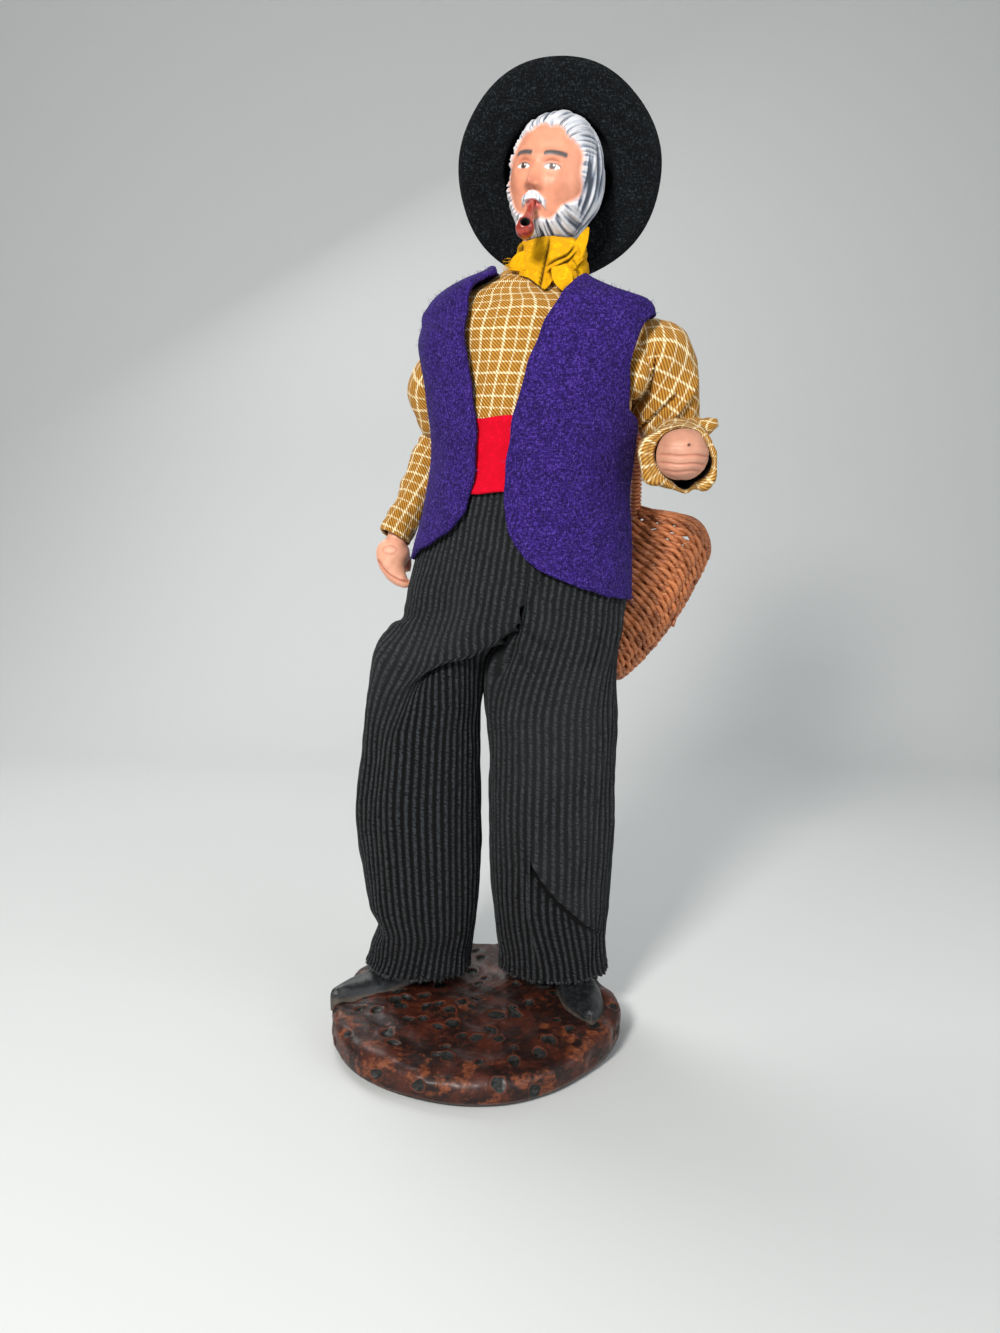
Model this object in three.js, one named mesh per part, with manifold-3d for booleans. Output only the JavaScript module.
// Dressed santon figure: clay head, hands, shoes and base, cloth clothes, felt hat, wicker basket.
// Millimetres, +Z up. The origin is the centre of the base's flat underside, -Y is the front.
import * as THREE from 'three';
import { mergeVertices } from 'three/addons/utils/BufferGeometryUtils.js';
import Module from 'manifold-3d';

const wasm = await Module();
wasm.setup();

// Base
const baseWidth = 86;
const baseDepth = 84;
const baseFrontHeight = 8.5;
const baseBackHeight = 14.5;
const baseEdgeRound = 3.2;
const baseBulge = 1.3;
const baseDent = 0.35;

// Figure: its pose and forms are written in parts, and 286 parts are its height from soles to hat
const figureHeight = 286;
const partsInHeight = 286;
const part = figureHeight / partsInHeight;
const soleLevel = 11.5;
const torsoTurn = -20;

// Clothes
const clearance = 0.3;
const vestFelt = 1.2;
const sashCloth = 0.9;
const sashWidth = 22;
const cuffWall = 1.5;
const cuffDepth = 11;
const fistRoom = 1.75;
const wristRoom = 1.2;
const hemRoom = 0.3;
const scarfCloth = 0.9;

// Hat
const brimDiameter = 60.5;
const brimFelt = 1.6;
const crownHeight = 16;
const crownFelt = 1.4;

// Pipe
const pipeBowlDiameter = 5.6;
const pipeBowlBore = 3.2;
const pipeStemDiameter = 2;

// Basket
const basketHeight = 57;
const basketRimLength = 41;
const basketRimWidth = 35;
const basketBottomShare = 0.54;
const basketWall = 2;
const basketRimDiameter = 3.4;
const basketHandleDiameter = 4;
const basketHandleRise = 36;

const TURN = Math.PI * 2;
const { clamp, lerp, degToRad } = THREE.MathUtils;
const soleHeight = (baseFrontHeight + baseBackHeight) / 2;

// A place in the figure, in parts from the base's centre, with heights as on the modelled base
const place = (x, y, z) => new THREE.Vector3(x * part, y * part, level(z));
const level = (z) => soleHeight + (z - soleLevel) * part;
const bump = (distance, width) => Math.exp(-((distance / width) ** 2));

// Goes smoothly from 0 to 1 as the value goes from one end to the other, whichever is larger
function ease(value, start, end) {
  const share = clamp((value - start) / (end - start), 0, 1);
  return share * share * (3 - 2 * share);
}

// One side of a fold rises slowly and the other drops steeply
function fold(distance, slow, steep) {
  return Math.exp(-Math.abs(distance) / (distance < 0 ? slow : steep));
}

// A row of a table of stations at the height z, read along straight lines eased at the stations
function stationAt(stations, z) {
  const last = stations.length - 1;
  let below = 0;
  while (below < last - 1 && stations[below + 1].z < z) below += 1;
  const [low, high] = [stations[below], stations[below + 1]];
  const share = clamp((z - low.z) / (high.z - low.z), 0, 1);
  const row = {};
  for (const key of Object.keys(low)) row[key] = lerp(low[key], high[key], share);
  return row;
}

// A closed surface through rings of equal length, with a centre point closing each end
function skin(rings) {
  const sides = rings[0].length;
  const points = rings.flat();
  const faces = [];
  for (let ring = 0; ring + 1 < rings.length; ring += 1) {
    for (let side = 0; side < sides; side += 1) {
      const next = (side + 1) % sides;
      const [a, b] = [ring * sides + side, ring * sides + next];
      const [c, d] = [a + sides, b + sides];
      faces.push([a, b, d], [a, d, c]);
    }
  }
  for (const [ring, flip] of [[0, true], [rings.length - 1, false]]) {
    const centre = new THREE.Vector3();
    for (const point of rings[ring]) centre.addScaledVector(point, 1 / sides);
    points.push(centre);
    for (let side = 0; side < sides; side += 1) {
      const [a, b] = [ring * sides + side, ring * sides + ((side + 1) % sides)];
      faces.push(flip ? [b, a, points.length - 1] : [a, b, points.length - 1]);
    }
  }
  return { points, faces };
}

function geometryOf({ points, faces }) {
  const geometry = new THREE.BufferGeometry();
  const numbers = points.flatMap((point) => point.toArray());
  geometry.setAttribute('position', new THREE.Float32BufferAttribute(numbers, 3));
  geometry.setIndex(faces.flat());
  return geometry;
}

function solidOf(geometry) {
  geometry.deleteAttribute('normal');
  geometry.deleteAttribute('uv');
  const merged = mergeVertices(geometry, 1e-4);
  const vertProperties = new Float32Array(merged.attributes.position.array);
  const triVerts = new Uint32Array(merged.index.array);
  const solid = new wasm.Manifold(new wasm.Mesh({ numProp: 3, vertProperties, triVerts }));
  if (solid.volume() > 0) return solid;
  for (let i = 0; i < triVerts.length; i += 3) {
    [triVerts[i], triVerts[i + 1]] = [triVerts[i + 1], triVerts[i]];
  }
  return new wasm.Manifold(new wasm.Mesh({ numProp: 3, vertProperties, triVerts }));
}

const solidSkin = (rings) => solidOf(geometryOf(skin(rings)));

// A level oval: x and y its centre, wide and deep its half sizes, turned about Z
function oval({ x, y, z, wide, deep }, turn, sides, relief = () => 0, grow = 0) {
  const angle = degToRad(turn);
  const ring = [];
  for (let side = 0; side < sides; side += 1) {
    const around = (side / sides) * TURN;
    const raised = relief(around, z) * part + grow;
    const across = Math.cos(around) * (wide * part + raised);
    const along = Math.sin(around) * (deep * part + raised);
    const point = place(x, y, z);
    point.x += across * Math.cos(angle) - along * Math.sin(angle);
    point.y += across * Math.sin(angle) + along * Math.cos(angle);
    ring.push(point);
  }
  return ring;
}

// Level ovals stacked through a table of stations, one ring at each, from low to high
function stack(stations, { turn = 0, sides = 24, relief, grow = 0 }) {
  const rings = stations.map((row) => oval(row, turn, sides, relief, grow));
  rings[0].forEach((point) => { point.z -= grow; });
  rings.at(-1).forEach((point) => { point.z += grow; });
  return solidSkin(rings);
}

// A round limb through places with their own radii, its rings square to its path
function limb(stops, { sides = 20, steps = 12, relief = () => 0, grow = 0 }) {
  const path = new THREE.CatmullRomCurve3(stops.map(([x, y, z]) => place(x, y, z)));
  const rings = [];
  for (let step = 0; step <= steps; step += 1) {
    const share = step / steps;
    const spot = share * (stops.length - 1);
    const stop = Math.min(Math.floor(spot), stops.length - 2);
    const radius = lerp(stops[stop][3], stops[stop + 1][3], spot - stop);
    const centre = path.getPoint(share);
    const ahead = path.getTangent(share);
    const across = new THREE.Vector3(1, 0, 0).addScaledVector(ahead, -ahead.x).normalize();
    const over = new THREE.Vector3().crossVectors(ahead, across);
    if (step === 0) centre.addScaledVector(ahead, -grow);
    if (step === steps) centre.addScaledVector(ahead, grow);
    const ring = [];
    for (let side = 0; side < sides; side += 1) {
      const around = (side / sides) * TURN;
      const reach = (radius + relief(around, share)) * part + grow;
      const point = centre.clone().addScaledVector(across, Math.cos(around) * reach);
      ring.push(point.addScaledVector(over, Math.sin(around) * reach));
    }
    rings.push(ring);
  }
  return solidSkin(rings);
}

// Base: a round lump of clay with a sloping top, a bulging side and a flat underside
function baseTop(x, y) {
  const slope = lerp(baseFrontHeight, baseBackHeight, (y + baseDepth / 2) / baseDepth);
  return slope + baseDent * Math.sin(x * 0.31 + 1) * Math.sin(y * 0.27);
}

function baseOutline(around, inset) {
  const uneven = 0.7 * Math.sin(around * 3 + 0.6) + 0.5 * Math.sin(around * 5 + 2);
  const x = Math.cos(around) * (baseWidth / 2 + uneven - inset);
  const y = Math.sin(around) * (baseDepth / 2 + uneven - inset);
  return [x, y];
}

function baseSolid(grow = 0) {
  const sides = 28;
  const topRings = 4;
  const edgeSteps = 3;
  const profile = [[0, 0], [-baseBulge, 0.45]];
  for (let step = 0; step <= edgeSteps; step += 1) {
    const turn = (step / edgeSteps) * TURN / 4;
    profile.push([-baseBulge + baseEdgeRound * (1 - Math.cos(turn)), 1, Math.sin(turn) - 1]);
  }
  for (let ring = 1; ring < topRings; ring += 1) {
    const inset = baseEdgeRound + (ring / topRings) * (baseDepth / 2 - baseEdgeRound);
    profile.push([inset, 1, 0]);
  }
  const rings = profile.map(([inset, share, round = 0]) => {
    const ring = [];
    for (let side = 0; side < sides; side += 1) {
      const [x, y] = baseOutline((side / sides) * TURN, inset - grow);
      const top = baseTop(x, y) + grow;
      const z = share < 1 ? top * share - (share === 0 ? grow : 0) : top + round * baseEdgeRound;
      ring.push(new THREE.Vector3(x, y, z));
    }
    return ring;
  });
  return solidSkin(rings);
}

// Shoes: a low round-topped shoe from heel to toe, with an ankle that goes up into the trousers
const hemLevel = 17.5;
const shoeSink = 3.5;
const ankleTop = hemLevel - hemRoom;
const shoeRight = { heel: [-9.5, 28], toe: [-44.6, -0.6], wide: 6.6 };
const shoeLeft = { heel: [30, 29], toe: [35.3, -12.5], wide: 7.2 };
const shoeForm = [
  { z: 0, wide: 0.45, tall: 0.85 },
  { z: 0.08, wide: 0.8, tall: 0.97 },
  { z: 0.3, wide: 0.86, tall: 1 },
  { z: 0.55, wide: 0.95, tall: 1 },
  { z: 0.75, wide: 1, tall: 0.92 },
  { z: 0.92, wide: 0.85, tall: 0.8 },
  { z: 1, wide: 0.4, tall: 0.66 },
];

function shoeSolid({ heel, toe, wide }) {
  const lengthSteps = 8;
  const overSteps = 7;
  const sole = level(soleLevel) - shoeSink;
  const tall = level(ankleTop) - sole;
  const along = new THREE.Vector2(toe[0] - heel[0], toe[1] - heel[1]);
  const ahead = along.clone().normalize();
  const rings = [];
  for (let step = 0; step <= lengthSteps; step += 1) {
    const share = step / lengthSteps;
    const form = stationAt(shoeForm, share);
    const x = (heel[0] + along.x * share) * part;
    const y = (heel[1] + along.y * share) * part;
    const ring = [];
    for (let over = 0; over <= overSteps; over += 1) {
      const angle = Math.PI * (over / overSteps);
      const side = Math.cos(angle) * wide * form.wide * part;
      const up = Math.sin(angle) ** 0.7 * tall * form.tall;
      ring.push(new THREE.Vector3(x - ahead.y * side, y + ahead.x * side, sole + up));
    }
    rings.push(ring);
  }
  return solidSkin(rings);
}

// Trousers: hips in one stack, each leg in its own, joined
const hips = [
  { z: 121, x: 8.6, y: 13, wide: 24, deep: 11 },
  { z: 127, x: 9.6, y: 12.8, wide: 34, deep: 19.2 },
  { z: 133, x: 9.8, y: 12.2, wide: 35, deep: 21.2 },
  { z: 140, x: 10.8, y: 12, wide: 34.4, deep: 22.6 },
  { z: 150, x: 12, y: 12, wide: 32.7, deep: 22.3 },
  { z: 165, x: 13.5, y: 12, wide: 30.3, deep: 21.5 },
  { z: 176, x: 14.2, y: 12, wide: 28.4, deep: 20.3 },
];
const legRight = [
  { z: hemLevel, x: -19.3, y: 16, wide: 16.4, deep: 16 },
  { z: 24, x: -18, y: 16, wide: 16.1, deep: 16 },
  { z: 31, x: -17, y: 15.5, wide: 15.8, deep: 16.5 },
  { z: 38, x: -17.6, y: 15, wide: 17.2, deep: 17.2 },
  { z: 55, x: -18.5, y: 14, wide: 18.6, deep: 18 },
  { z: 72, x: -19.1, y: 13.5, wide: 19.3, deep: 18.5 },
  { z: 88, x: -18.4, y: 13, wide: 18.4, deep: 18.5 },
  { z: 104, x: -17.6, y: 13, wide: 17.4, deep: 18.5 },
  { z: 111, x: -16.7, y: 13, wide: 16.7, deep: 18.5 },
  { z: 115.5, x: -16, y: 13, wide: 16.2, deep: 18.5 },
  { z: 120, x: -15.3, y: 13, wide: 15.7, deep: 18.5 },
  { z: 125, x: -13.7, y: 13, wide: 15.5, deep: 18.5 },
  { z: 130, x: -11.8, y: 13, wide: 15.2, deep: 18.5 },
  { z: 135, x: -8, y: 13, wide: 12, deep: 15 },
];
const legLeft = [
  { z: hemLevel, x: 25, y: 16, wide: 17.2, deep: 16.4 },
  { z: 24, x: 24.5, y: 15.5, wide: 17.1, deep: 16.6 },
  { z: 31, x: 24, y: 15, wide: 17.7, deep: 17 },
  { z: 38, x: 23.6, y: 14.5, wide: 18.4, deep: 17.4 },
  { z: 46, x: 23.5, y: 14, wide: 18.9, deep: 17.9 },
  { z: 55, x: 23.4, y: 13.5, wide: 19.4, deep: 18.4 },
  { z: 72, x: 23.2, y: 13, wide: 19.7, deep: 19 },
  { z: 88, x: 23.2, y: 12.5, wide: 19.6, deep: 19 },
  { z: 104, x: 22.9, y: 12, wide: 20.2, deep: 19.4 },
  { z: 120, x: 22.8, y: 12, wide: 20.4, deep: 19.8 },
  { z: 132, x: 23, y: 12, wide: 19.6, deep: 20 },
  { z: 142, x: 22.5, y: 12, wide: 17, deep: 17 },
];

// The crotch pulls a long fold out and down across the right thigh
function rightLegRelief(around, z) {
  const front = ease(Math.sin(around), 0.25, -0.35);
  const crease = z - (118.5 + 7.5 * Math.cos(around));
  const ankle = z - (31 + 2.5 * Math.cos(around - TURN / 2));
  const pulled = 2.1 * fold(-crease, 8, 2.5) - 1.1 * bump(crease + 4, 5);
  return front * pulled - 0.8 * bump(ankle, 3.5);
}

// One fold slants down across the left shin to the outer side of the hem
function leftLegRelief(around, z) {
  const front = ease(Math.sin(around), 0.1, -0.5);
  const slant = z - (44 - 22 * Math.cos(around));
  return front * (1.1 * bump(slant - 5, 5) - 1.1 * bump(slant + 3, 4));
}

function hipRelief(around, z) {
  const front = bump(around - TURN * 0.74, 0.5);
  return -0.8 * front * ease(z, 148, 126);
}

function trousersSolid() {
  const seat = stack(hips, { turn: torsoTurn, sides: 24, relief: hipRelief });
  const right = stack(legRight, { sides: 18, relief: rightLegRelief });
  const left = stack(legLeft, { sides: 18, relief: leftLegRelief });
  return seat.add(right).add(left);
}

// Shirt: the torso, and two sleeves each of an upper arm and a forearm
const torso = [
  { z: 176.4, x: 14.3, y: 12, wide: 28, deep: 20 },
  { z: 190, x: 16, y: 12, wide: 29.3, deep: 20.4 },
  { z: 200, x: 16.3, y: 12, wide: 29.8, deep: 20.4 },
  { z: 211, x: 16.6, y: 12, wide: 30.4, deep: 19 },
  { z: 218, x: 16.4, y: 11.5, wide: 29.5, deep: 16.5 },
  { z: 224, x: 16, y: 11, wide: 26, deep: 14 },
  { z: 229, x: 15.6, y: 10.5, wide: 20, deep: 11.8 },
  { z: 234, x: 16.6, y: 9.5, wide: 12.6, deep: 9.8 },
  { z: 238, x: 18.2, y: 9, wide: 8.8, deep: 8.6 },
];
const upperArmLeft = [
  [34, 12, 213, 7],
  [45, 10, 212.5, 9],
  [53.4, 9.5, 210.4, 11.4],
  [56, 12.5, 199, 11.4],
  [58, 16, 190, 10.2],
  [59, 18.5, 183, 6.5],
];
const forearmLeft = [
  [60.5, 26, 187, 6.5],
  [60.2, 19, 186.5, 9.8],
  [59, 6, 184, 9.4],
  [57.3, -7, 181, 9.1],
  [55.8, -17, 178.8, 9.3],
  [55, -26, 177.3, 10.2],
];
const elbowPinch = [[63, 10, 188, 4.5], [68, 8, 190.5, 3], [71.5, 7, 192, 1.2]];
const upperArmRight = [
  [2, 18, 214, 7],
  [-8, 23, 212, 8],
  [-16, 26.5, 205, 8.2],
  [-15, 29.8, 196, 7.2],
  [-14, 33.9, 189, 4.7],
  [-14.2, 34.6, 184.5, 3.6],
];
const forearmRight = [
  [-14.8, 35.5, 189.5, 4],
  [-16.8, 35, 184, 6.2],
  [-20.4, 33, 174, 6],
  [-24.6, 30.5, 165, 5.6],
  [-28.6, 28.5, 156.8, 5.2],
];

// Sleeve cloth gathers in slanting folds, deepest in the middle of its length
const sleeveRelief = (count, depth) => (around, share) => {
  const waves = Math.sin(share * count * TURN + around * 2) + 0.6 * Math.sin(around * 3 - share * 9);
  return depth * waves * Math.sin(share * Math.PI);
};

function sleeveLeft() {
  const upper = limb(upperArmLeft, { sides: 12, steps: 8, relief: sleeveRelief(1.2, 0.6) });
  const fore = limb(forearmLeft, { sides: 12, steps: 6, relief: sleeveRelief(1.2, 0.4) });
  return upper.add(fore).add(limb(elbowPinch, { sides: 6, steps: 2 }));
}

function sleeveRight() {
  const upper = limb(upperArmRight, { sides: 10, steps: 6, relief: sleeveRelief(1, 0.4) });
  const fore = limb(forearmRight, { sides: 10, steps: 5, relief: sleeveRelief(1, 0.3) });
  return upper.add(fore);
}

function torsoRelief(around, z) {
  return 0.35 * Math.sin(around * 6 + z * 0.05) * ease(z, 225, 205);
}

// The mouth of a cuff, cut to its depth along the last stretch of the forearm
const cuffLeftRadius = forearmLeft.at(-1)[3] * part - cuffWall;
const cuffRightRadius = forearmRight.at(-1)[3] * part - cuffWall * 0.7;

function cuffBore(stops, radius, depth) {
  const end = place(...stops.at(-1));
  const before = place(...stops.at(-2));
  const inward = before.sub(end).normalize();
  const bore = new THREE.CylinderGeometry(radius, radius, depth * 2, 14);
  bore.applyQuaternion(new THREE.Quaternion().setFromUnitVectors(new THREE.Vector3(0, 1, 0), inward));
  bore.translate(end.x, end.y, end.z);
  return solidOf(bore);
}

// Sash: a band round the waist, over the top of the trousers and the foot of the shirt
const sashTop = 190.5;
const sashGap = clearance * 2.6;

function sashSolid() {
  const bottom = sashTop - sashWidth / part;
  const around = (z, grow) => {
    const shirtRow = stationAt(torso, Math.max(z, torso[0].z));
    const hipRow = stationAt(hips, Math.min(z, hips.at(-1).z));
    const row = { ...shirtRow, z };
    row.wide = Math.max(shirtRow.wide, hipRow.wide);
    row.deep = Math.max(shirtRow.deep, hipRow.deep);
    return oval(row, torsoTurn, 28, () => 0, grow);
  };
  const heights = [0, 0.5, 1].map((share) => lerp(bottom, sashTop, share));
  const inner = heights.map((z) => around(z, sashGap));
  const outer = heights.map((z) => around(z, sashGap + sashCloth));
  inner[0].forEach((point) => { point.z -= sashGap; });
  inner.at(-1).forEach((point) => { point.z += sashGap; });
  return solidSkin(outer).subtract(solidSkin(inner));
}

// Vest: a thin felt shell round the torso, cut by its opening, neck, hem and armholes
// The table is the shell's inner side
const vestForm = [
  { z: 130, x: 9.8, y: 12, wide: 36.4, deep: 24.8 },
  { z: 140, x: 11.2, y: 12, wide: 35.2, deep: 24.8 },
  { z: 150, x: 12.4, y: 12, wide: 34.4, deep: 24.6 },
  { z: 165, x: 14, y: 12, wide: 32.4, deep: 23.8 },
  { z: 181, x: 15.8, y: 12, wide: 31.8, deep: 23.2 },
  { z: 200, x: 15.7, y: 12, wide: 33.9, deep: 22.6 },
  { z: 211, x: 15.5, y: 12, wide: 35.8, deep: 21.4 },
  { z: 217, x: 15.5, y: 11.7, wide: 36.7, deep: 19.8 },
  { z: 222.5, x: 15.8, y: 11.2, wide: 36.4, deep: 17.6 },
  { z: 225, x: 15.4, y: 10.8, wide: 33.8, deep: 16.2 },
  { z: 227.8, x: 14, y: 10.5, wide: 30.4, deep: 14.8 },
  { z: 231, x: 12, y: 10.2, wide: 25.8, deep: 13.4 },
  { z: 234.5, x: 13, y: 9.8, wide: 19, deep: 11.6 },
  { z: 237.5, x: 15.4, y: 9.6, wide: 12.6, deep: 10.2 },
];
// The opening between the fronts, seen from the front: its left edge, then its right edge
const vestOpening = [
  [-4.6, 246], [-4.5, 231], [-5.3, 212], [-2.3, 195], [-2.2, 171], [-4.3, 164], [-8, 158.5],
  [-14.5, 153.8], [-23, 150.6], [-46, 149], [-46, 110], [70, 110], [70, 138.2], [44, 138.2],
  [33, 140.4], [22.5, 144.2], [15.1, 147.8], [10.2, 153.7], [7.4, 162], [7.3, 171], [8.8, 187],
  [10.9, 197], [14.1, 207.6], [18.8, 218], [24, 226], [33, 236], [35, 246],
];
// The hem across the back, the hollow's mouth below it, and the neck hole
const vestSide = 11;
const vestBackHem = 140;
const vestHem = [
  [-60, 100], [80, 100], [80, vestBackHem - 1], [20, vestBackHem], [-60, vestBackHem + 13],
];
const vestMouth = [
  { z: 120, x: 9.8, y: 12, wide: 36, deep: 24.4 },
  { z: 135, x: 10.5, y: 12, wide: 36, deep: 24.4 },
];
const vestNeck = [
  { z: 228, x: 18, y: 9, wide: 13, deep: 10.5 },
  { z: 234, x: 18.2, y: 9.5, wide: 15.2, deep: 15 },
  { z: 250, x: 18.2, y: 10, wide: 19, deep: 26 },
];

function prism(outline, front, back) {
  const shape = new THREE.Shape(outline.map(([x, z]) => new THREE.Vector2(x * part, level(z))));
  const length = (back - front) * part;
  const block = new THREE.ExtrudeGeometry(shape, { depth: length, bevelEnabled: false });
  block.rotateX(Math.PI / 2);
  block.translate(0, back * part, 0);
  return solidOf(block);
}

// An armhole: a tall oval hole, seen from the side, from the torso's middle out past the vest
const armholeRight = { y: 28, z: 202, deep: 10, tall: 19.5, from: -60, to: 4 };
const armholeLeft = { y: 11.5, z: 201.8, deep: 14.2, tall: 20.8, from: 36, to: 80 };

function armhole({ y, z, deep, tall, from, to }) {
  const hole = new THREE.CylinderGeometry(1, 1, (to - from) * part, 16);
  hole.rotateZ(TURN / 4);
  hole.scale(1, deep * part, tall * part);
  const centre = place((from + to) / 2, y, z);
  hole.translate(centre.x, centre.y, centre.z);
  return solidOf(hole);
}

function vestSolid() {
  const options = { turn: torsoTurn, sides: 28 };
  const outer = stack(vestForm, { ...options, grow: vestFelt });
  const inner = stack(vestForm, options);
  const mouth = stack(vestMouth, options);
  const neck = stack(vestNeck, { turn: torsoTurn, sides: 14 });
  const opening = prism(vestOpening, -60, vestSide);
  const backHem = prism(vestHem, vestSide, 60);
  return outer.subtract(inner).subtract(mouth).subtract(neck).subtract(opening)
    .subtract(backHem).subtract(armhole(armholeRight)).subtract(armhole(armholeLeft));
}

// Head, in its own frame: x to the figure's left, -y out of the face, z up, from the middle
const headHalf = new THREE.Vector3(12.7, 14.6, 17.7);
const headAt = [20.3, 4, 260];
const headTurn = -26;
const headNod = 2;
const headTilt = 10;
const neckStops = [[18.2, 8.5, 238.9, 7.2], [18.6, 8, 244, 7.2], [19.5, 6.5, 252, 8]];

// How far the face stands out, at u across and v up the head, both from -1 to 1
function faceRelief(u, v) {
  const side = Math.abs(u);
  const brow = 0.6 * bump(v - 0.17, 0.1) * ease(side, 0.85, 0.4);
  const sockets = -1.2 * bump(side - 0.38, 0.2) * bump(v - 0.02, 0.11);
  const nose = 3.4 * ease(v, 0.14, -0.24) * ease(v, -0.4, -0.26) * bump(u, 0.2);
  const cheeks = 0.6 * bump(side - 0.5, 0.22) * bump(v + 0.2, 0.2);
  const moustache = 1.1 * bump(v + 0.42 + 0.2 * u * u, 0.08) * ease(side, 0.5, 0.25);
  const chin = 0.9 * bump(u, 0.35) * bump(v + 0.8, 0.2);
  return brow + sockets + nose + cheeks + moustache + chin;
}

// Hair and beard stand round the face's oval, in locks that run down
function hairRelief(u, v, ahead) {
  const round = Math.hypot(u / 0.82, (v + 0.02) / 0.7);
  const cover = ahead < 0 ? 1 : ease(round, 0.9, 1.08);
  return cover * (1.1 + 0.15 * Math.sin(u * 17 + 3 * Math.sin(v * 9)));
}

function headSolid(grow = 0, sides = 24, rows = 20) {
  const rings = [];
  for (let row = 1; row < rows; row += 1) {
    const rise = -TURN / 4 + (row / rows) * (TURN / 2);
    const ring = [];
    for (let side = 0; side < sides; side += 1) {
      const even = (side / sides) * TURN;
      const around = even - 0.4 * Math.sin(even);
      const [across, ahead] = [Math.sin(around), Math.cos(around)];
      const girth = Math.cos(rise) ** 0.86;
      const v = Math.sin(rise);
      const jaw = 1 - 0.16 * ease(-v, 0.1, 1);
      const u = Math.sign(across) * Math.abs(across) ** 0.88 * girth;
      const nape = ahead < 0 ? 1 - 0.42 * ease(-v, 0.15, 0.9) : 1;
      const depth = -Math.sign(ahead) * Math.abs(ahead) ** 0.8 * girth * nape;
      const hair = hairRelief(u, v, ahead) + grow / part;
      const outward = new THREE.Vector3(u * 0.8, depth, v * 0.7).normalize();
      const point = new THREE.Vector3(u * jaw, depth, v).multiply(headHalf);
      point.addScaledVector(outward, hair);
      point.y -= faceRelief(u, v) * ease(ahead, 0, 0.5);
      ring.push(point.multiplyScalar(part));
    }
    rings.push(ring);
  }
  const pose = new THREE.Euler(degToRad(headNod), degToRad(headTilt), degToRad(headTurn), 'ZYX');
  const centre = place(...headAt);
  for (const point of rings.flat()) point.applyEuler(pose).add(centre);
  const neck = limb(neckStops, { sides: 12, steps: 3, grow });
  return solidSkin(rings).add(neck);
}

// The head's rough outer form, grown by a clearance, for what is worn on it
const headRoom = () => headSolid(clearance * 2, 16, 12);

// Hat: a flat round brim square to a leaning axis, and a low crown behind the head
const hatAt = [21.8, 10, 264.2];
const crownBore = 16.4;
const hatAxis = new THREE.Vector3(-0.05, -0.936, -0.349).normalize();
const hatTip = 0.01;

function hatSolid() {
  const sides = 28;
  const brim = brimDiameter / 2;
  const crown = crownBore * part;
  const profile = [
    [hatTip, -crownHeight - crownFelt],
    [crown * 0.55, -crownHeight * 0.97 - crownFelt],
    [crown * 0.88, -crownHeight * 0.72 - crownFelt],
    [crown + crownFelt, -brimFelt],
    [brim, -brimFelt],
    [brim, 0],
    [crown, 0],
    [crown, -crownHeight * 0.3],
    [crown * 0.8, -crownHeight * 0.7],
    [crown * 0.5, -crownHeight * 0.93],
    [hatTip, -crownHeight],
  ];
  const spin = new THREE.Quaternion().setFromUnitVectors(new THREE.Vector3(0, 0, 1), hatAxis);
  const rings = profile.map(([radius, height]) => {
    const ring = [];
    for (let side = 0; side < sides; side += 1) {
      const around = (side / sides) * TURN;
      const droop = 0.5 * Math.sin(around * 2 + 1) * ease(radius / brim, 0.6, 1);
      const [x, y] = [Math.cos(around) * radius, Math.sin(around) * radius];
      const point = new THREE.Vector3(x, y, height + droop);
      ring.push(point.applyQuaternion(spin).add(place(...hatAt)));
    }
    return ring;
  });
  return solidSkin(rings);
}

// Neckerchief: cloth wound round the neck, a knot with two tails, and two loose ends
const scarfWind = [
  { z: 228.6, x: 18, y: 6.6, wide: 9.4, deep: 9.9 },
  { z: 231.5, x: 18.6, y: 6.4, wide: 11.2, deep: 10.8 },
  { z: 236.5, x: 19, y: 6, wide: 11.6, deep: 10.6 },
  { z: 239.8, x: 19.4, y: 5.6, wide: 11, deep: 9.8 },
  { z: 241.4, x: 19.6, y: 5.4, wide: 9.6, deep: 8.6 },
];
const scarfKnot = [[20.6, -4.4, 239.4, 1.4], [22.4, -5.4, 238.6, 2.5], [24.6, -4.6, 237.4, 1.4]];
const scarfEnds = [
  { stops: [[16.5, -3.4, 238], [15.6, -4.8, 233], [14.9, -5.4, 228.2]], wide: 3.6 },
  { stops: [[22.6, -4.6, 238.5], [22.5, -6.1, 233], [22.2, -6.9, 227.2]], wide: 2.8 },
  { stops: [[28, 1, 234.5], [29.4, -0.4, 238.5], [29.8, -1, 243]], wide: 1.7 },
  { stops: [[10.5, 4, 236.4], [7.4, 3.2, 235.8], [4.4, 2.8, 234.6]], wide: 1.7 },
];

function scarfEnd({ stops, wide }) {
  const path = new THREE.CatmullRomCurve3(stops.map(([x, y, z]) => place(x, y, z)));
  const steps = 4;
  const section = [[-1, 0], [-0.6, 0.8], [0.6, 0.8], [1, 0], [0, -0.8]];
  const rings = [];
  for (let step = 0; step <= steps; step += 1) {
    const share = step / steps;
    const centre = path.getPoint(share);
    const ahead = path.getTangent(share);
    const across = new THREE.Vector3().crossVectors(ahead, new THREE.Vector3(0, 1, 0)).normalize();
    const over = new THREE.Vector3().crossVectors(ahead, across);
    const half = wide * part * (0.4 + 0.6 * ease(share, 0, 0.7));
    rings.push(section.map(([side, up]) => (
      centre.clone().addScaledVector(across, side * half).addScaledVector(over, up * scarfCloth)
    )));
  }
  return solidSkin(rings);
}

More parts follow.
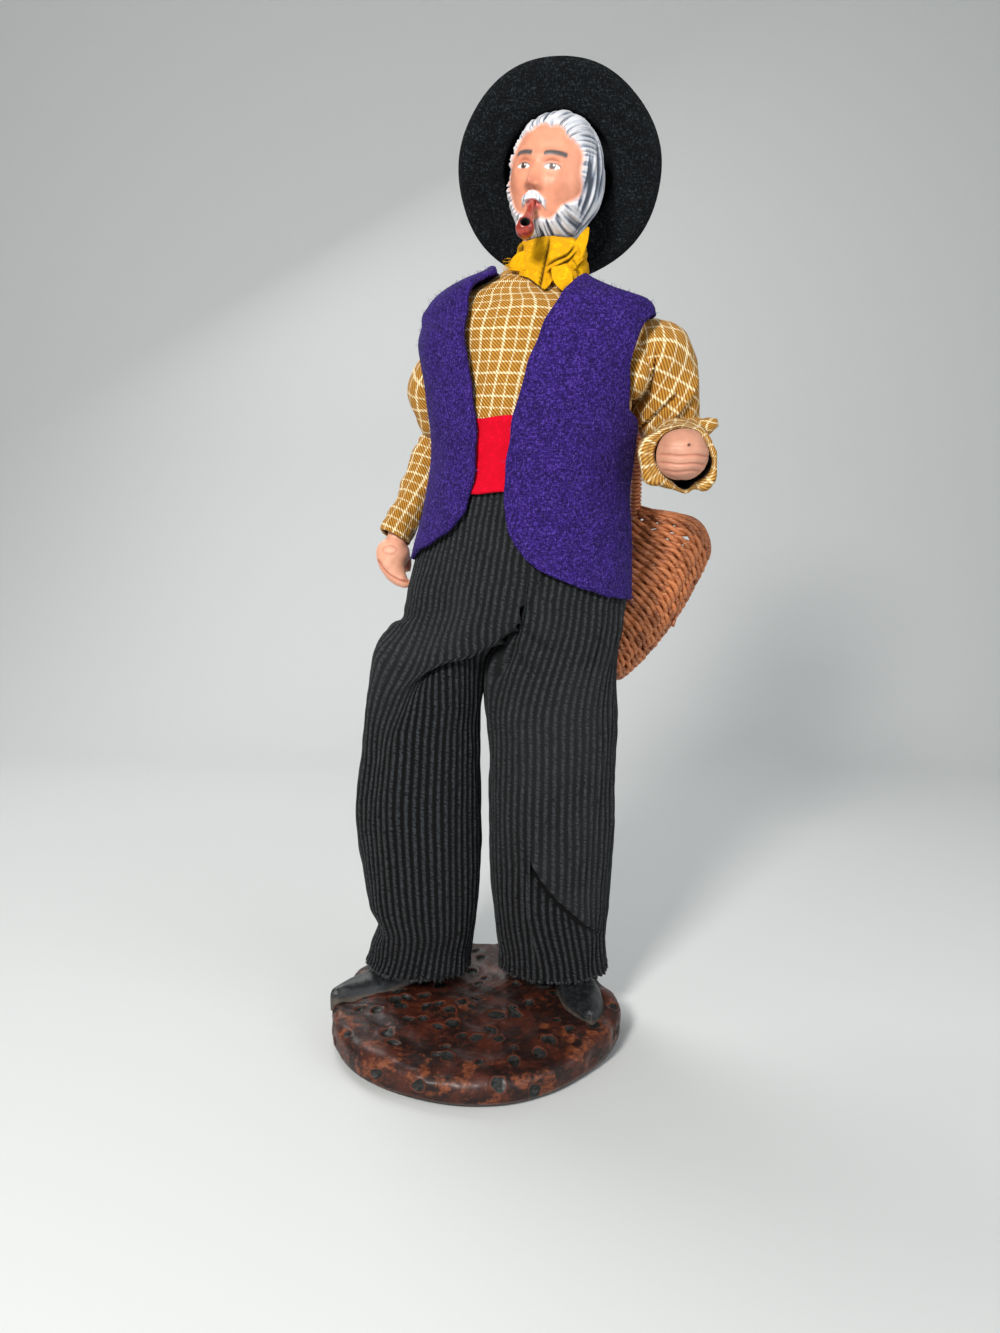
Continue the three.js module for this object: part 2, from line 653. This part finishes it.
function scarfSolid() {
  const creases = (around) => 0.5 * Math.sin(around * 5 + 0.8);
  const wind = stack(scarfWind, { sides: 18, relief: creases });
  const knot = limb(scarfKnot, { sides: 8, steps: 4 });
  const body = stack(torso, { turn: torsoTurn, sides: 16, grow: clearance * 2 });
  const neck = limb(neckStops, { sides: 12, steps: 3, grow: clearance });
  return scarfEnds.reduce((whole, end) => whole.add(scarfEnd(end)), wind.add(knot))
    .subtract(body).subtract(neck);
}

// Pipe: a tapering stem from the mouth down to a round bowl with a bore in its top
const pipeMouth = [13.5, -7.6, 249.6];
const pipeBowl = [11.5, -14.8, 240.6];
const pipeBoreLean = 0.5;

function pipeSolid() {
  const mouth = new THREE.Vector3(...pipeMouth);
  const bowl = new THREE.Vector3(...pipeBowl);
  const middle = mouth.clone().lerp(bowl, 0.5);
  const stem = limb([
    [...mouth.toArray(), pipeStemDiameter / 2 / part],
    [...middle.toArray(), pipeStemDiameter / 1.6 / part],
    [...bowl.toArray(), pipeBowlDiameter / 3 / part],
  ], { sides: 8, steps: 3 });
  const ball = new THREE.SphereGeometry(pipeBowlDiameter / 2, 10, 6);
  ball.scale(1, 1, 1.2);
  const centre = place(...pipeBowl);
  ball.translate(centre.x, centre.y, centre.z);
  const bore = new THREE.CylinderGeometry(pipeBowlBore / 2, pipeBowlBore / 2.6, pipeBowlDiameter, 8);
  bore.rotateX(TURN / 4 + pipeBoreLean);
  bore.translate(centre.x, centre.y - pipeBowlDiameter * 0.3, centre.z + pipeBowlDiameter * 0.62);
  return stem.add(solidOf(ball)).subtract(solidOf(bore)).subtract(headRoom());
}

// Hands: a fist in the left cuff, and a hanging right hand with its fingers curled to a point
const fistHalf = cuffLeftRadius - fistRoom;
const wristHalf = cuffRightRadius - wristRoom;
const fistShape = new THREE.Vector3(1, 0.93, 0.96);

function fistSolid() {
  const [x, y, z] = forearmLeft.at(-1);
  const rows = 10;
  const sides = 14;
  const rings = [];
  for (let row = 1; row < rows; row += 1) {
    const rise = -TURN / 4 + (row / rows) * (TURN / 2);
    const girth = Math.cos(rise) ** 0.8;
    const ring = [];
    for (let side = 0; side < sides; side += 1) {
      const around = (side / sides) * TURN;
      const out = new THREE.Vector3(Math.cos(around) * girth, Math.sin(around) * girth, Math.sin(rise));
      out.multiply(fistShape).multiplyScalar(fistHalf);
      ring.push(place(x - 0.5, y - 2.4, z + 0.9).add(out));
    }
    rings.push(ring);
  }
  const wrist = limb([
    [x - 0.2, y - 2, z + 0.6, 4.6],
    [x + 0.3, y + 8, z + 1.6, 4.2],
  ], { sides: 10, steps: 1 });
  return solidSkin(rings).add(wrist);
}

function handRightSolid() {
  const [x, y, z] = forearmRight.at(-1);
  const hand = limb([
    [x + 0.9, y + 0.4, z + 2.2, wristHalf / part],
    [x + 0.3, y, z - 1.2, wristHalf / part],
    [x - 0.2, y - 0.2, z - 3.4, 5],
    [x - 0.7, y - 0.6, z - 6.6, 5.5],
    [x + 0.1, y - 1.4, z - 10, 4.7],
    [x + 2.3, y - 2.2, z - 13.6, 3.3],
    [x + 4.6, y - 2.8, z - 15.4, 1.7],
  ], { sides: 10, steps: 9 });
  const thumb = limb([
    [x + 1, y + 3.4, z - 4, 2],
    [x + 2.6, y + 4.2, z - 7.6, 1.7],
    [x + 3.8, y + 3.6, z - 11, 1.2],
  ], { sides: 6, steps: 2 });
  return hand.add(thumb);
}

// Basket: a tapered oval shell in its own frame, leaning, with a rim roll
const basketAt = [37.5, 42, 113.5];
const basketLean = 25;
const basketBack = 11;
const basketTurn = -8;
const handleFootShift = -9;

function basketPose() {
  const pose = new THREE.Matrix4().makeRotationFromEuler(
    new THREE.Euler(degToRad(-basketBack), degToRad(basketLean), degToRad(basketTurn), 'ZYX'),
  );
  return pose.setPosition(place(...basketAt));
}

function basketRing(share, inset, height) {
  const sides = 20;
  const grown = lerp(basketBottomShare, 1, Math.sin(share * TURN / 4));
  const ring = [];
  for (let side = 0; side < sides; side += 1) {
    const around = (side / sides) * TURN;
    const x = Math.cos(around) * ((basketRimLength / 2) * grown - inset);
    const y = Math.sin(around) * ((basketRimWidth / 2) * grown - inset);
    ring.push(new THREE.Vector3(x, y, height).applyMatrix4(basketPose()));
  }
  return ring;
}

function basketShell() {
  const shares = [0.1, 0.3, 0.6, 0.88];
  const roll = basketRimDiameter / 2;
  const outer = shares.map((share) => basketRing(share, 0, share * basketHeight));
  const rim = [0, 1, 2, 3].map((step) => {
    const turn = (step / 3) * (TURN / 2);
    const inset = basketWall / 2 - roll * Math.cos(turn);
    return basketRing(1, inset, basketHeight - roll + roll * Math.sin(turn));
  });
  const inner = shares.map((share) => basketRing(share, basketWall, share * basketHeight)).reverse();
  const floor = [basketRing(0, basketWall, basketWall)];
  return solidSkin([basketRing(0, basketWall / 2, 0), ...outer, ...rim, ...inner, ...floor]);
}

// The handle goes up straight from the near rim, over the crook of the arm, and down to the far rim
// Each stop is its share of the way across and of the handle's rise
const handleArch = [
  [0, 0.12], [0.02, 0.5], [0.12, 0.8], [0.32, 0.97], [0.55, 0.95], [0.8, 0.72], [0.97, 0.36],
];

function handleArc(grow = 0) {
  const radius = basketHandleDiameter / 2 + grow;
  const across = Math.sqrt(1 - (handleFootShift / (basketRimLength / 2)) ** 2);
  const reach = (basketRimWidth / 2 - basketWall / 2) * across;
  const depth = basketHeight - basketRimDiameter;
  const foot = (y) => new THREE.Vector3(handleFootShift, y, depth).applyMatrix4(basketPose());
  const [near, far] = [foot(-reach), foot(reach)];
  const span = far.clone().sub(near);
  const top = basketHandleRise * part;
  const stops = handleArch.map(([share, rise]) => {
    const spot = near.clone().addScaledVector(span, share);
    spot.z += rise * top;
    return spot;
  });
  const extrudePath = new THREE.CatmullRomCurve3([near, ...stops, far]);
  const shape = new THREE.Shape();
  shape.absarc(0, 0, radius, 0, TURN);
  return solidOf(new THREE.ExtrudeGeometry(shape, { steps: 15, curveSegments: 4, extrudePath }));
}

const basketSolid = () => basketShell().add(handleArc());

// The finished pieces, each cut back from the ones it touches
const baseRoom = baseSolid(clearance);

function shirtSolid() {
  const body = stack(torso, { turn: torsoTurn, sides: 22, relief: torsoRelief });
  return body.add(sleeveLeft()).add(sleeveRight())
    .subtract(cuffBore(forearmLeft, cuffLeftRadius, cuffDepth))
    .subtract(cuffBore(forearmRight, cuffRightRadius, cuffDepth / 2))
    .subtract(handleArc(clearance));
}

const looks = {
  clay: { color: 0x5c2a17, roughness: 0.35 },
  blacking: { color: 0x1d1f22, roughness: 0.5 },
  corduroy: { color: 0x1c1d1f, roughness: 0.95 },
  check: { color: 0xb98536, roughness: 0.9 },
  red: { color: 0xc90f25, roughness: 0.95 },
  purple: { color: 0x35226d, roughness: 1 },
  yellow: { color: 0xdb9d14, roughness: 0.9 },
  skin: { color: 0xe4946c, roughness: 0.7 },
  stem: { color: 0x7a2a1f, roughness: 0.3 },
  felt: { color: 0x17191b, roughness: 1 },
  wicker: { color: 0xa75c33, roughness: 0.6 },
};

const figure = new THREE.Group();

function show(name, solid, look) {
  const { vertProperties, triVerts } = solid.getMesh();
  const geometry = new THREE.BufferGeometry();
  geometry.setAttribute('position', new THREE.BufferAttribute(vertProperties, 3));
  geometry.setIndex(new THREE.BufferAttribute(triVerts, 1));
  const mesh = new THREE.Mesh(geometry, new THREE.MeshStandardMaterial({ metalness: 0, ...look }));
  mesh.name = name;
  figure.add(mesh);
}

show('base', baseSolid(), looks.clay);
show('shoe_right', shoeSolid(shoeRight).subtract(baseRoom), looks.blacking);
show('shoe_left', shoeSolid(shoeLeft).subtract(baseRoom), looks.blacking);
show('trousers', trousersSolid(), looks.corduroy);
show('shirt', shirtSolid(), looks.check);
show('sash', sashSolid(), looks.red);
show('vest', vestSolid(), looks.purple);
show('neckerchief', scarfSolid(), looks.yellow);
show('head', headSolid(), looks.skin);
show('pipe', pipeSolid(), looks.stem);
show('hat', hatSolid().subtract(headRoom()), looks.felt);
show('hand_right', handRightSolid(), looks.skin);
show('hand_left', fistSolid(), looks.skin);
show('basket', basketSolid(), looks.wicker);

export default figure;
